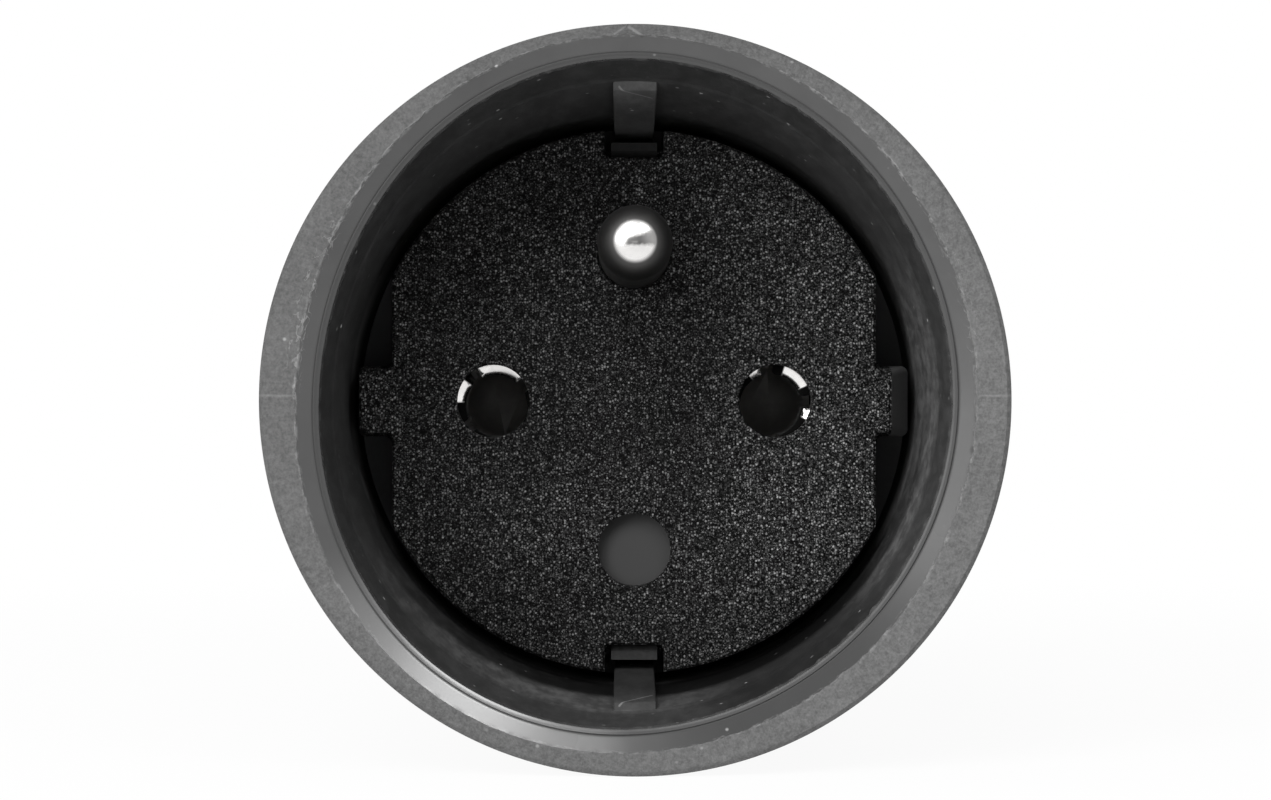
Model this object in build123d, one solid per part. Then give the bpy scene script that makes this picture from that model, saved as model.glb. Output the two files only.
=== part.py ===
from build123d import *
import os

# Earthed plug adapter: a pin-earth socket in front, a two-pin plug with side earth strips behind.
# Modelled along Z, out of the socket mouth, with Y up, in millimetres.
# The export lays the axis level, with the mouth towards -Y and the earth pin on top.
# The origin is the centre of the rear shoulder, the plane that meets the wall socket.

# Contact pattern shared by the socket and the plug
PIN_SPACING = 19.0
PIN_DIAMETER = 4.8
PIN_LENGTH = 19.0
EARTH_PIN_RISE = 10.0
EARTH_PIN_LENGTH = 14.0

# Clearances
BORE_CLEARANCE = 0.02
LOOSE_CLEARANCE = 0.1
SEAT_CLEARANCE = 0.05

# Layers along the axis, from the shoulder to the rim
JACKET_LIP = 2.0
CARRIER_FLANGE = 2.6
BASE_WEB = 2.0
SLEEVE_BACK_WALL = 3.0
PIN_END_ROOM = 0.4
COVER_THICKNESS = 3.2
RECESS_DEPTH = 17.0
BASE_LOWER_HEIGHT = 9.4
BASE_FLANGE_HEIGHT = 3.5

# Socket insert outline
INSERT_RADIUS = 18.3
FLAT_CUT = 2.05
LUG_WIDTH = 4.2
LEFT_LUG_REACH = 2.25
RIGHT_LUG_REACH = 1.05
RIGHT_LUG_SLOPE = 1.1
COVER_DRAFT = 0.3
OUTLINE_FILLET = 0.5
FACE_EDGE = 0.15

# Holes in the cover
CONTACT_HOLE_DIAMETER = 4.9
HOLE_EDGE = 0.1
BLIND_DIAMETER = 4.9
BLIND_DEPTH = 1.1
BLIND_DROP = 10.0

# Notches, hooks and key ribs at the top and bottom
NOTCH_WIDTH = 4.0
NOTCH_DEPTH = 1.9
NOTCH_CORNER = 0.45
HOOK_LEDGE = 0.45
HOOK_LEDGE_DEPTH = 1.6
HOOK_THICKNESS = 0.55
HOOK_SETBACK = 0.7
RIB_WIDTH = 2.7
RIB_ENGAGEMENT = 0.35
RIB_START_DEPTH = 5.8
RIB_NOSE = 0.5
RIB_EDGE = 0.35

# Rubber jacket
WALL_GAP = 0.8
WALL_DRAFT = 0.2
WALL_STEP = 0.12
STEP_DEPTH = 5.5
MOUTH_LEAD = 0.38
LIP_WIDTH = 0.35
GROOVE_WIDTH = 0.16
GROOVE_DEPTH = 0.2
BAND_WIDTH = 0.95
BAND_DROP = 0.45
BEVEL_WIDTH = 1.85
BEVEL_DEPTH = 0.45
COLLAR_EDGE = 0.3
COLLAR_LENGTH = 11.0
FLANGE_OVERLAP = 1.0
WAIST_WALL = 1.4
SHOULDER_ROUND = 1.6

# Contact sleeves and their springs
SLEEVE_WALL = 0.75
SLEEVE_SETBACK = 1.2
SLEEVE_LEAD = 0.5
SLIT_WIDTH = 1.0
SLIT_LENGTH = 13.0
LEFT_SLIT_TURN = 37.0
RIGHT_SLIT_TURN = 6.0
SPRING_WIRE = 0.9
SPRING_SINK = 0.35
SPRING_SETBACK = 4.5
SPRING_GAP = 1.6

# Earth pin, screw and strap
EARTH_COLLAR_DIAMETER = 7.2
EARTH_COLLAR_HALF = 1.0
EARTH_ROOT_DIAMETER = 4.2
EARTH_TAIL_DIAMETER = 4.0
EARTH_SCREW_DIAMETER = 2.5
EARTH_SCREW_LENGTH = 7.0
EARTH_SCREW_HEAD_DIAMETER = 4.2
EARTH_SCREW_HEAD_HEIGHT = 1.6
WASHER_DIAMETER = 5.4
WASHER_THICKNESS = 0.6
STRAP_WIDTH = 6.4
STRAP_THICKNESS = 0.8
STRAP_RADIUS = 15.7
STRAP_BOW = 0.4
STRAP_BEND = 1.2
STRAP_LEG = 13.0

# Plug carrier and pins
NOSE_RADIUS = 18.4
NOSE_LENGTH = 17.0
NOSE_EDGE = 1.0
LIP_OVERLAP = 0.9
NECK_RELIEF = 0.2
GUIDE_WIDTH = 5.4
GUIDE_DEPTH = 2.6
STRAP_CHANNEL_MARGIN = 0.7
PIN_ROOT_DIAMETER = 5.4
PIN_COLLAR_DIAMETER = 7.2
PIN_COLLAR_HEIGHT = 3.0
PIN_TAIL_DIAMETER = 3.0
PIN_TAIL_END_ROOM = 0.6
PIN_NOSE_ROUND = 1.6

# Carrier screws
SCREW_X = 6.4
SCREW_Y = 7.6
SCREW_DIAMETER = 3.0
SCREW_LENGTH = 18.0
SCREW_HEAD_DIAMETER = 5.4
SCREW_HEAD_HEIGHT = 2.2
SCREW_HEAD_Z = -4.0
DRIVE_WIDTH = 0.8
DRIVE_LENGTH = 3.4
DRIVE_DEPTH = 1.1

# Places along the axis that the layers give
CARRIER_FRONT_Z = JACKET_LIP + CARRIER_FLANGE
SLEEVE_BACK_Z = CARRIER_FRONT_Z + BASE_WEB
SLEEVE_BORE_END_Z = SLEEVE_BACK_Z + SLEEVE_BACK_WALL
FACE_Z = SLEEVE_BORE_END_Z + PIN_END_ROOM + PIN_LENGTH
RIM_Z = FACE_Z + RECESS_DEPTH
BASE_FRONT_Z = FACE_Z - COVER_THICKNESS
SLEEVE_FRONT_Z = FACE_Z - SLEEVE_SETBACK
FLANGE_BACK_Z = CARRIER_FRONT_Z + BASE_LOWER_HEIGHT
FLANGE_FRONT_Z = FLANGE_BACK_Z + BASE_FLANGE_HEIGHT
TAIL_END_Z = SLEEVE_BORE_END_Z - PIN_TAIL_END_ROOM
STRAP_BACK_Z = CARRIER_FRONT_Z - STRAP_THICKNESS
WASHER_BACK_Z = STRAP_BACK_Z - WASHER_THICKNESS

# Radii that the fits give
PIN_RADIUS = PIN_DIAMETER / 2
FLAT_REACH = INSERT_RADIUS - FLAT_CUT
INSERT_REACH = max(INSERT_RADIUS, FLAT_REACH + LEFT_LUG_REACH, FLAT_REACH + RIGHT_LUG_REACH)
RECESS_RADIUS = INSERT_REACH + WALL_GAP
STEP_RADIUS = RECESS_RADIUS + WALL_DRAFT
MOUTH_RADIUS = STEP_RADIUS + WALL_STEP + MOUTH_LEAD
GROOVE_RADIUS = MOUTH_RADIUS + LIP_WIDTH
BAND_RADIUS = GROOVE_RADIUS + GROOVE_WIDTH + BAND_WIDTH
COLLAR_RADIUS = BAND_RADIUS + BEVEL_WIDTH
REAR_RADIUS = max(RECESS_RADIUS, NOSE_RADIUS + LIP_OVERLAP)
FLANGE_RADIUS = REAR_RADIUS + FLANGE_OVERLAP
WAIST_RADIUS = FLANGE_RADIUS + WAIST_WALL
SLEEVE_BORE_RADIUS = PIN_RADIUS + BORE_CLEARANCE
SLEEVE_RADIUS = SLEEVE_BORE_RADIUS + SLEEVE_WALL
SPRING_RADIUS = SLEEVE_RADIUS - SPRING_SINK + SPRING_WIRE
SLEEVE_POCKET_RADIUS = SPRING_RADIUS + LOOSE_CLEARANCE
NOTCH_RADIUS = INSERT_RADIUS - NOTCH_DEPTH
HOOK_RADIUS = NOTCH_RADIUS + HOOK_LEDGE
RIB_RADIUS = INSERT_RADIUS - RIB_ENGAGEMENT

# Places across the axis
LEFT = Pos(-PIN_SPACING / 2, 0)
RIGHT = Pos(PIN_SPACING / 2, 0)
EARTH = Pos(0, EARTH_PIN_RISE)
SCREWS = [Pos(SCREW_X, SCREW_Y), Pos(-SCREW_X, -SCREW_Y)]
TOP_AND_BOTTOM = [Rot(), Rot(0, 0, 180)]

# Turns the model from its own axis to the frame it is handed over in
TO_FRAME = Rot(90, 0, 0)


def rod(diameter, z0, z1):
    """A round bar on the axis between two heights."""
    return extrude(Pos(0, 0, z0) * Circle(diameter / 2), z1 - z0)


def turned(*profile):
    """A turned solid from the closed half-profile that the given edges bound, in radius and height."""
    return revolve(Plane.XZ * make_face(Curve() + list(profile)), Axis.Z)


def insert_outline(grow, right_reach):
    """The socket insert's outline: a disc with two flats and a lug on each flat."""
    disc = Circle(INSERT_RADIUS + grow)
    band = Rectangle(2 * (FLAT_REACH + grow), 2 * (INSERT_RADIUS + grow))
    lug_width = LUG_WIDTH + 2 * grow
    left_end = FLAT_REACH + LEFT_LUG_REACH + grow
    right_end = FLAT_REACH + right_reach + grow
    left = Rectangle(left_end, lug_width, align=(Align.MAX, Align.CENTER))
    right = Rectangle(right_end, lug_width, align=(Align.MIN, Align.CENTER))
    outline = (disc & band) + left + right
    return fillet(outline.vertices(), OUTLINE_FILLET)


def notch(inner_radius, z0, z1):
    """The room of one top notch from inner_radius outwards."""
    reach = 2 * (RECESS_RADIUS - inner_radius)
    room = Pos(0, inner_radius + reach / 2, z0) * RectangleRounded(NOTCH_WIDTH, reach, NOTCH_CORNER)
    return extrude(room, z1 - z0)


def block(width, y0, y1, z0, z1):
    """A straight block centred in X."""
    return Pos(0, (y0 + y1) / 2, (z0 + z1) / 2) * Box(width, y1 - y0, z1 - z0)


def make_rubber_jacket():
    lip_z = RIM_Z - BAND_DROP
    bevel_z = RIM_Z - BEVEL_DEPTH
    collar_z = bevel_z - COLLAR_LENGTH
    step_z = RIM_Z - STEP_DEPTH
    groove_outer = GROOVE_RADIUS + GROOVE_WIDTH
    lip_bore = NOSE_RADIUS + LOOSE_CLEARANCE
    groove_bore = FLANGE_RADIUS + SEAT_CLEARANCE
    lip_crown = (MOUTH_RADIUS + LIP_WIDTH * 0.3, lip_z - LIP_WIDTH * 0.3)
    waist_mid = ((WAIST_RADIUS + COLLAR_RADIUS) / 2, (FLANGE_FRONT_Z + collar_z) / 2)
    # The rim's crest is where the outer bevel meets the inner band, which falls towards the mouth.
    front = Polyline(
        (COLLAR_RADIUS, bevel_z - COLLAR_EDGE),
        (COLLAR_RADIUS - COLLAR_EDGE, bevel_z),
        (BAND_RADIUS, RIM_Z),
        (groove_outer, lip_z),
        (GROOVE_RADIUS + GROOVE_WIDTH / 2, lip_z - GROOVE_DEPTH),
        (GROOVE_RADIUS, lip_z),
        lip_crown,
        (MOUTH_RADIUS, lip_z - LIP_WIDTH),
    )
    inside = Polyline(
        (MOUTH_RADIUS, lip_z - LIP_WIDTH),
        (STEP_RADIUS + WALL_STEP, step_z),
        (STEP_RADIUS, step_z - WALL_STEP),
        (RECESS_RADIUS, FACE_Z),
        (RECESS_RADIUS, FLANGE_FRONT_Z + SEAT_CLEARANCE),
        (groove_bore, FLANGE_FRONT_Z + SEAT_CLEARANCE),
        (groove_bore, FLANGE_BACK_Z - SEAT_CLEARANCE),
        (REAR_RADIUS, FLANGE_BACK_Z - SEAT_CLEARANCE),
        (REAR_RADIUS, JACKET_LIP),
        (lip_bore, JACKET_LIP),
        (lip_bore, 0),
    )
    round_z = SHOULDER_ROUND * (1 - 0.5**0.5)
    round_mid = (WAIST_RADIUS - round_z, round_z)
    outside = [
        Line((lip_bore, 0), (WAIST_RADIUS - SHOULDER_ROUND, 0)),
        ThreePointArc((WAIST_RADIUS - SHOULDER_ROUND, 0), round_mid, (WAIST_RADIUS, SHOULDER_ROUND)),
        Line((WAIST_RADIUS, SHOULDER_ROUND), (WAIST_RADIUS, FLANGE_FRONT_Z)),
        TangentArc((WAIST_RADIUS, FLANGE_FRONT_Z), waist_mid, tangent=(0, 1)),
        TangentArc((COLLAR_RADIUS, collar_z), waist_mid, tangent=(0, -1)),
        Line((COLLAR_RADIUS, collar_z), (COLLAR_RADIUS, bevel_z - COLLAR_EDGE)),
    ]
    jacket = turned(front, inside, *outside)

    # The key ribs start with a blunt nose on the wall and run down beside the insert to its flange.
    rib_back = FLANGE_FRONT_Z + LOOSE_CLEARANCE
    rib_front = RIM_Z - RIB_START_DEPTH
    rib_root = RECESS_RADIUS + WAIST_WALL / 2
    side = Polyline(
        (RIB_RADIUS, rib_back),
        (RIB_RADIUS, FACE_Z - COVER_THICKNESS),
        (STEP_RADIUS - RIB_NOSE, rib_front - RIB_NOSE),
        (STEP_RADIUS, rib_front),
        (rib_root, rib_front),
        (rib_root, rib_back),
        close=True,
    )
    rib = extrude(Plane.YZ * make_face(side), RIB_WIDTH / 2, both=True)
    rib = fillet(rib.edges().filter_by(Plane.YZ).group_by(Axis.Y)[0], RIB_EDGE)
    for turn in TOP_AND_BOTTOM:
        jacket += turn * rib
    return jacket


def make_socket_cover():
    face = Pos(0, 0, FACE_Z) * insert_outline(0, RIGHT_LUG_REACH)
    back = Pos(0, 0, BASE_FRONT_Z) * insert_outline(COVER_DRAFT, RIGHT_LUG_REACH + RIGHT_LUG_SLOPE)
    cover = loft([back, face], ruled=True)
    for turn in TOP_AND_BOTTOM:
        cover -= turn * notch(HOOK_RADIUS, BASE_FRONT_Z, FACE_Z)
        cover -= turn * notch(NOTCH_RADIUS, FACE_Z - HOOK_LEDGE_DEPTH, FACE_Z)
    cover = chamfer(cover.faces().sort_by(Axis.Z)[-1].edges(), FACE_EDGE)

    hole = rod(CONTACT_HOLE_DIAMETER, BASE_FRONT_Z, FACE_Z)
    flare = turned(
        Polyline(
            (0, FACE_Z - HOLE_EDGE),
            (CONTACT_HOLE_DIAMETER / 2, FACE_Z - HOLE_EDGE),
            (CONTACT_HOLE_DIAMETER / 2 + HOLE_EDGE, FACE_Z),
            (0, FACE_Z),
            close=True,
        )
    )
    sleeve_room = rod(
        2 * (SLEEVE_RADIUS + LOOSE_CLEARANCE), BASE_FRONT_Z, SLEEVE_FRONT_Z + SEAT_CLEARANCE
    )
    collar_room = rod(
        EARTH_COLLAR_DIAMETER + 2 * LOOSE_CLEARANCE,
        BASE_FRONT_Z,
        BASE_FRONT_Z + EARTH_COLLAR_HALF + SEAT_CLEARANCE,
    )
    for place in (LEFT, RIGHT):
        cover -= place * (hole + flare + sleeve_room)
    cover -= EARTH * (hole + flare + collar_room)
    cover -= Pos(0, -BLIND_DROP) * rod(BLIND_DIAMETER, FACE_Z - BLIND_DEPTH, FACE_Z)
    return cover


def make_socket_base():
    upper = insert_outline(COVER_DRAFT, RIGHT_LUG_REACH + RIGHT_LUG_SLOPE)
    base = rod(2 * (REAR_RADIUS - LOOSE_CLEARANCE), CARRIER_FRONT_Z, FLANGE_BACK_Z)
    base += rod(2 * FLANGE_RADIUS, FLANGE_BACK_Z, FLANGE_FRONT_Z)
    base += extrude(Pos(0, 0, FLANGE_FRONT_Z) * upper, BASE_FRONT_Z - FLANGE_FRONT_Z)

    # Each hook is an arm with a barb that holds the cover by the ledge in its notch.
    arm_inner = HOOK_RADIUS + SEAT_CLEARANCE
    arm_outer = arm_inner + HOOK_THICKNESS
    barb_inner = NOTCH_RADIUS + LOOSE_CLEARANCE
    barb_z = FACE_Z - HOOK_LEDGE_DEPTH + SEAT_CLEARANCE
    tip_z = FACE_Z - HOOK_SETBACK
    hook_width = NOTCH_WIDTH - 2 * NOTCH_CORNER
    hook_side = Polyline(
        (arm_inner, FLANGE_FRONT_Z),
        (arm_inner, barb_z),
        (barb_inner, barb_z),
        (barb_inner, tip_z - HOOK_THICKNESS / 2),
        (arm_inner, tip_z),
        (arm_outer, tip_z),
        (arm_outer, FLANGE_FRONT_Z),
        close=True,
    )
    hook = extrude(Plane.YZ * make_face(hook_side), hook_width / 2, both=True)
    for turn in TOP_AND_BOTTOM:
        base -= turn * notch(HOOK_RADIUS, FLANGE_FRONT_Z, BASE_FRONT_Z)
        base += turn * hook

    pocket = rod(2 * SLEEVE_POCKET_RADIUS, SLEEVE_BACK_Z, BASE_FRONT_Z)
    tail_hole = rod(PIN_TAIL_DIAMETER + 2 * LOOSE_CLEARANCE, CARRIER_FRONT_Z, SLEEVE_BACK_Z)
    for place in (LEFT, RIGHT):
        base -= place * (pocket + tail_hole)

    collar_room = rod(
        EARTH_COLLAR_DIAMETER + 2 * LOOSE_CLEARANCE, BASE_FRONT_Z - EARTH_COLLAR_HALF, BASE_FRONT_Z
    )
    base -= EARTH * collar_room
    base -= EARTH * rod(EARTH_TAIL_DIAMETER + 2 * LOOSE_CLEARANCE, CARRIER_FRONT_Z, BASE_FRONT_Z)
    pilot_end = SCREW_HEAD_Z + SCREW_LENGTH + PIN_END_ROOM
    for place in SCREWS:
        base -= place * rod(SCREW_DIAMETER + 2 * BORE_CLEARANCE, CARRIER_FRONT_Z, pilot_end)
    return base


def make_sleeve(slit_turn):
    """A turned contact sleeve with four sawn fingers, on the axis."""
    sleeve = rod(2 * SLEEVE_RADIUS, SLEEVE_BACK_Z, SLEEVE_FRONT_Z)
    sleeve -= rod(2 * SLEEVE_BORE_RADIUS, SLEEVE_BORE_END_Z, SLEEVE_FRONT_Z)
    sleeve -= rod(PIN_TAIL_DIAMETER + 2 * BORE_CLEARANCE, SLEEVE_BACK_Z, TAIL_END_Z + SEAT_CLEARANCE)
    mouth = sleeve.faces().sort_by(Axis.Z)[-1].edges().sort_by(SortBy.RADIUS)[0]
    sleeve = chamfer(mouth, SLEEVE_LEAD)
    groove_z = SLEEVE_FRONT_Z - SPRING_SETBACK
    groove = rod(2 * SPRING_RADIUS, groove_z, groove_z + SPRING_WIRE + SEAT_CLEARANCE)
    groove -= rod(2 * (SLEEVE_RADIUS - SPRING_SINK), groove_z, groove_z + SPRING_WIRE + SEAT_CLEARANCE)
    sleeve -= groove
    slit_end = SLEEVE_FRONT_Z - SLIT_LENGTH
    slit_mid = (slit_end + SLEEVE_FRONT_Z) / 2
    for turn in (slit_turn, slit_turn + 90):
        sleeve -= Pos(0, 0, slit_mid) * Rot(0, 0, turn) * Box(3 * SLEEVE_RADIUS, SLIT_WIDTH, SLIT_LENGTH)
    return sleeve


def make_sleeve_spring(slit_turn):
    """An open steel ring in the groove round the fingers, its opening over a slit."""
    inner = SLEEVE_RADIUS - SPRING_SINK + SEAT_CLEARANCE
    ring_z = SLEEVE_FRONT_Z - SPRING_SETBACK + SEAT_CLEARANCE / 2
    ring = rod(2 * SPRING_RADIUS, ring_z, ring_z + SPRING_WIRE)
    ring -= rod(2 * inner, ring_z, ring_z + SPRING_WIRE)
    opening = Rot(0, 0, slit_turn) * Pos(SPRING_RADIUS, 0, ring_z + SPRING_WIRE / 2)
    return ring - opening * Box(2 * SPRING_WIRE, SPRING_GAP, 2 * SPRING_WIRE)


def make_earth_pin():
    tip_z = FACE_Z + EARTH_PIN_LENGTH
    dome_z = tip_z - PIN_RADIUS
    dome_mid = (PIN_RADIUS * 0.5**0.5, dome_z + PIN_RADIUS * 0.5**0.5)
    collar_back = BASE_FRONT_Z - EARTH_COLLAR_HALF
    collar_front = BASE_FRONT_Z + EARTH_COLLAR_HALF
    root = EARTH_ROOT_DIAMETER / 2
    tail = EARTH_TAIL_DIAMETER / 2
    collar = EARTH_COLLAR_DIAMETER / 2
    pin = turned(
        ThreePointArc((0, tip_z), dome_mid, (PIN_RADIUS, dome_z)),
        Polyline(
            (PIN_RADIUS, dome_z),
            (PIN_RADIUS, FACE_Z),
            (root, FACE_Z),
            (root, collar_front),
            (collar, collar_front),
            (collar, collar_back),
            (tail, collar_back),
            (tail, CARRIER_FRONT_Z),
            (0, CARRIER_FRONT_Z),
            (0, tip_z),
        ),
    )
    tapped_end = CARRIER_FRONT_Z + EARTH_SCREW_LENGTH
    return pin - rod(EARTH_SCREW_DIAMETER + 2 * BORE_CLEARANCE, CARRIER_FRONT_Z, tapped_end)


def make_earth_strap():
    """A bent strip: a bar behind the base and two bowed legs beside the nose."""
    bar_z = CARRIER_FRONT_Z - STRAP_THICKNESS / 2
    bow_z = -STRAP_LEG / 2
    half = [(0, bar_z), (STRAP_RADIUS, bar_z), (STRAP_RADIUS, 0)]
    half += [(STRAP_RADIUS + STRAP_BOW, bow_z), (STRAP_RADIUS - STRAP_BOW, -STRAP_LEG)]
    path = FilletPolyline(*half, radius=STRAP_BEND)
    leg = extrude(Plane.YZ * trace(path, STRAP_THICKNESS), STRAP_WIDTH / 2, both=True)
    strap = leg + Rot(0, 0, 180) * leg
    hole = rod(EARTH_SCREW_DIAMETER + 2 * LOOSE_CLEARANCE, STRAP_BACK_Z, CARRIER_FRONT_Z)
    return strap - EARTH * hole


def make_earth_pin_washer():
    washer = rod(WASHER_DIAMETER, WASHER_BACK_Z, STRAP_BACK_Z)
    washer -= rod(EARTH_SCREW_DIAMETER + 2 * LOOSE_CLEARANCE, WASHER_BACK_Z, STRAP_BACK_Z)
    return EARTH * washer


def driven_screw(diameter, length, head_diameter, head_height, head_z):
    """A cross-headed screw along +Z, whose head's underside is at head_z."""
    screw = rod(diameter, head_z, head_z + length)
    screw += rod(head_diameter, head_z - head_height, head_z)
    drive = Box(DRIVE_LENGTH, DRIVE_WIDTH, DRIVE_DEPTH) + Box(DRIVE_WIDTH, DRIVE_LENGTH, DRIVE_DEPTH)
    return screw - Pos(0, 0, head_z - head_height + DRIVE_DEPTH / 2) * drive


def make_earth_pin_screw():
    reach = EARTH_SCREW_LENGTH + STRAP_THICKNESS + WASHER_THICKNESS - PIN_END_ROOM
    return EARTH * driven_screw(
        EARTH_SCREW_DIAMETER,
        reach,
        EARTH_SCREW_HEAD_DIAMETER,
        EARTH_SCREW_HEAD_HEIGHT,
        WASHER_BACK_Z,
    )


def make_plug_carrier():
    nose = rod(2 * NOSE_RADIUS, -NOSE_LENGTH, 0)
    nose = chamfer(nose.faces().sort_by(Axis.Z)[0].edges(), NOSE_EDGE)
    carrier = nose + rod(2 * (NOSE_RADIUS - NECK_RELIEF), 0, JACKET_LIP)
    carrier += rod(2 * (REAR_RADIUS - LOOSE_CLEARANCE), JACKET_LIP, CARRIER_FRONT_Z)
    middle = (CARRIER_FRONT_Z - NOSE_LENGTH) / 2
    height = CARRIER_FRONT_Z + NOSE_LENGTH

    # Guide grooves run down both sides of the nose, up to the flange.
    groove = Pos(NOSE_RADIUS, 0, -NOSE_LENGTH / 2) * Box(2 * GUIDE_DEPTH, GUIDE_WIDTH, NOSE_LENGTH)
    # A channel at the top and bottom takes the earth strap's leg.
    floor = STRAP_RADIUS - STRAP_BOW - STRAP_THICKNESS
    channel_width = STRAP_WIDTH + 2 * STRAP_CHANNEL_MARGIN
    channel = Pos(0, (floor + REAR_RADIUS) / 2, middle)
    channel *= Box(channel_width, REAR_RADIUS - floor, height)
    for turn in TOP_AND_BOTTOM:
        carrier -= turn * groove
        carrier -= turn * channel

    bar_width = STRAP_WIDTH + 2 * LOOSE_CLEARANCE
    carrier -= block(bar_width, -REAR_RADIUS, REAR_RADIUS, STRAP_BACK_Z - SEAT_CLEARANCE, CARRIER_FRONT_Z)
    head_back = WASHER_BACK_Z - EARTH_SCREW_HEAD_HEIGHT - PIN_END_ROOM
    carrier -= EARTH * rod(WASHER_DIAMETER + 2 * LOOSE_CLEARANCE, head_back, CARRIER_FRONT_Z)

    collar_back = CARRIER_FRONT_Z - PIN_COLLAR_HEIGHT - SEAT_CLEARANCE
    pin_hole = rod(PIN_ROOT_DIAMETER + 2 * BORE_CLEARANCE, -NOSE_LENGTH, CARRIER_FRONT_Z)
    pin_hole += rod(PIN_COLLAR_DIAMETER + 2 * LOOSE_CLEARANCE, collar_back, CARRIER_FRONT_Z)
    for place in (LEFT, RIGHT):
        carrier -= place * pin_hole

    screw_hole = rod(SCREW_DIAMETER + 2 * LOOSE_CLEARANCE, SCREW_HEAD_Z, CARRIER_FRONT_Z)
    screw_hole += rod(SCREW_HEAD_DIAMETER + 2 * LOOSE_CLEARANCE, -NOSE_LENGTH, SCREW_HEAD_Z)
    for place in SCREWS:
        carrier -= place * screw_hole
    return carrier


def make_plug_pin():
    """A turned plug pin on the axis: round nose, shank, collar and the tail that joins its sleeve."""
    tip_z = -NOSE_LENGTH - PIN_LENGTH
    flat = PIN_RADIUS - PIN_NOSE_ROUND
    bend = PIN_NOSE_ROUND * 0.5**0.5
    nose_mid = (flat + bend, tip_z + PIN_NOSE_ROUND - bend)
    collar_back = CARRIER_FRONT_Z - PIN_COLLAR_HEIGHT
    root = PIN_ROOT_DIAMETER / 2
    collar = PIN_COLLAR_DIAMETER / 2
    tail = PIN_TAIL_DIAMETER / 2
    return turned(
        ThreePointArc((flat, tip_z), nose_mid, (PIN_RADIUS, tip_z + PIN_NOSE_ROUND)),
        Polyline(
            (PIN_RADIUS, tip_z + PIN_NOSE_ROUND),
            (PIN_RADIUS, -NOSE_LENGTH),
            (root, -NOSE_LENGTH),
            (root, collar_back),
            (collar, collar_back),
            (collar, CARRIER_FRONT_Z),
            (tail, CARRIER_FRONT_Z),
            (tail, TAIL_END_Z),
            (0, TAIL_END_Z),
            (0, tip_z),
            (flat, tip_z),
        ),
    )


def make_carrier_screws():
    screw = driven_screw(SCREW_DIAMETER, SCREW_LENGTH, SCREW_HEAD_DIAMETER, SCREW_HEAD_HEIGHT, SCREW_HEAD_Z)
    return Compound([place * screw for place in SCREWS])


NODES = {
    "rubber_jacket": make_rubber_jacket(),
    "socket_cover": make_socket_cover(),
    "socket_base": make_socket_base(),
    "left_sleeve": LEFT * make_sleeve(LEFT_SLIT_TURN),
    "right_sleeve": RIGHT * make_sleeve(RIGHT_SLIT_TURN),
    "left_sleeve_spring": LEFT * make_sleeve_spring(LEFT_SLIT_TURN),
    "right_sleeve_spring": RIGHT * make_sleeve_spring(RIGHT_SLIT_TURN),
    "earth_pin": EARTH * make_earth_pin(),
    "earth_pin_washer": make_earth_pin_washer(),
    "earth_pin_screw": make_earth_pin_screw(),
    "earth_strap": make_earth_strap(),
    "plug_carrier": make_plug_carrier(),
    "left_plug_pin": LEFT * make_plug_pin(),
    "right_plug_pin": RIGHT * make_plug_pin(),
    "carrier_screws": make_carrier_screws(),
}

os.makedirs("parts", exist_ok=True)
for name, solid in NODES.items():
    export_step(TO_FRAME * solid, f"parts/{name}.step")
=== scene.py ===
import math

import bmesh
import bpy
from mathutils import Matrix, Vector, noise


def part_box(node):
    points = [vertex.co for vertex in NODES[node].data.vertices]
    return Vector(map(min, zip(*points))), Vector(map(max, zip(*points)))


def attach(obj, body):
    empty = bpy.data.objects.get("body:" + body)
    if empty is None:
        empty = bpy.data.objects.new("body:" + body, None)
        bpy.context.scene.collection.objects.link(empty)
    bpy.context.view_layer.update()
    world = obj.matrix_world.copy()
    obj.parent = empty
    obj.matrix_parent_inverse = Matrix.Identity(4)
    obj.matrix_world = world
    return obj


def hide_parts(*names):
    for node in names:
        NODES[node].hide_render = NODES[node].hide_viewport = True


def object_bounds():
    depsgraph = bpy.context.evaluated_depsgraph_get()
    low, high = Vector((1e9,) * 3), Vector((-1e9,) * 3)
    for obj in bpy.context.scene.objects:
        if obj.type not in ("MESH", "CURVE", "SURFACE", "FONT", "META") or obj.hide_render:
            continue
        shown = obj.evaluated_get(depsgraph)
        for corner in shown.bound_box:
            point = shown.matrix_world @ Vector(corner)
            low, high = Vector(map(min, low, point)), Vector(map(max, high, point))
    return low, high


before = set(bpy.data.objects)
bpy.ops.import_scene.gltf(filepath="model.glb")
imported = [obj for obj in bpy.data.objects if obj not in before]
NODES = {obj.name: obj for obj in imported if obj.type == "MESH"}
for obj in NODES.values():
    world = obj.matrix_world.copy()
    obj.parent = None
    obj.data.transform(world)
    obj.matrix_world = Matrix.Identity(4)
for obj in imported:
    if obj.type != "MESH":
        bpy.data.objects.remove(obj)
CAD_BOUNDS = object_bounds()


# The two plug pins: turned brass bars with rounded noses, nickel plated.
# Each collar is caught between the nose and the base, and its tail joins a contact sleeve; the tail is
# painted dark inside the body, as painted shade.
MM = 0.001
PIN_X = 9.5 * MM
PIN_TAIL_Y = 0.0


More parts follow.
